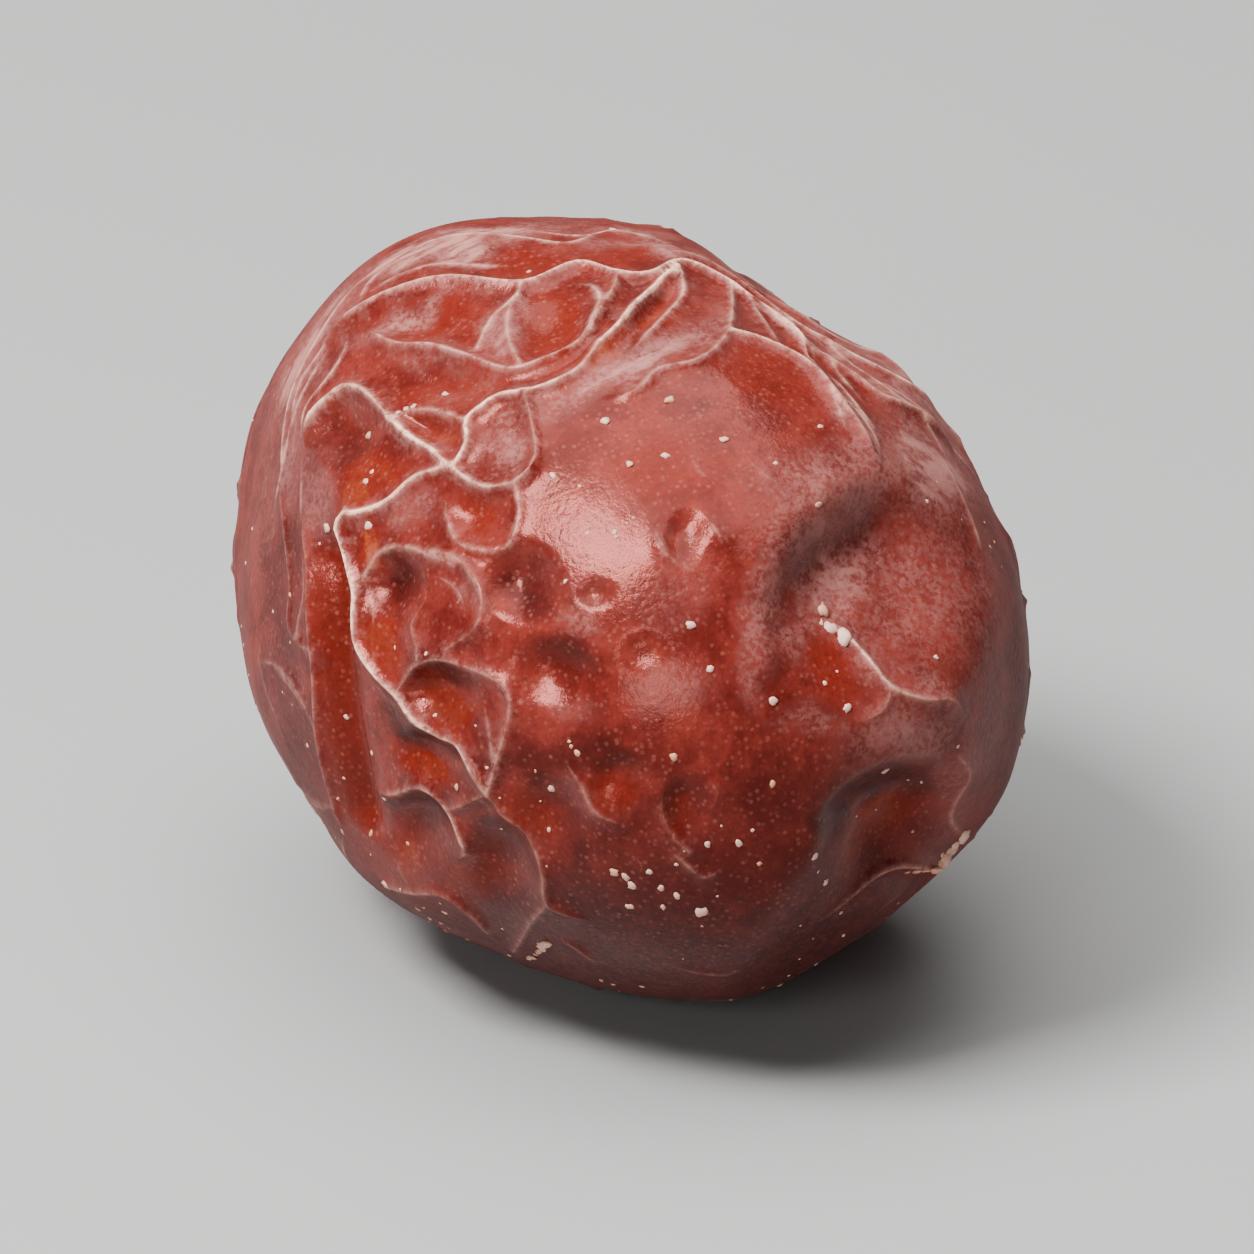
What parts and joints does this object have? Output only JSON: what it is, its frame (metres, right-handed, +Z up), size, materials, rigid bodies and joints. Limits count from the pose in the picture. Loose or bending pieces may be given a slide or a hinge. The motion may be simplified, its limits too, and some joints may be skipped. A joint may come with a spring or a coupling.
{
  "type": "dried jujube",
  "caption": "Dried jujube fruit lying on its side: an egg-shaped body with wrinkled skin, thin raised folds, soft dents and a pleated stem basin at one end.",
  "frame": {"origin": "middle of the fruit's outline from above, on the surface it lies on", "axes": "+X from the stem end to the tip, along the fruit, +Z up"},
  "size_m": [0.0248, 0.0186, 0.0185],
  "materials": {
    "skin": "satin, wrinkled, with a thin pale bloom"
  },
  "bodies": {
    "root": {"jujube": "skin"}
  },
  "joints": []
}
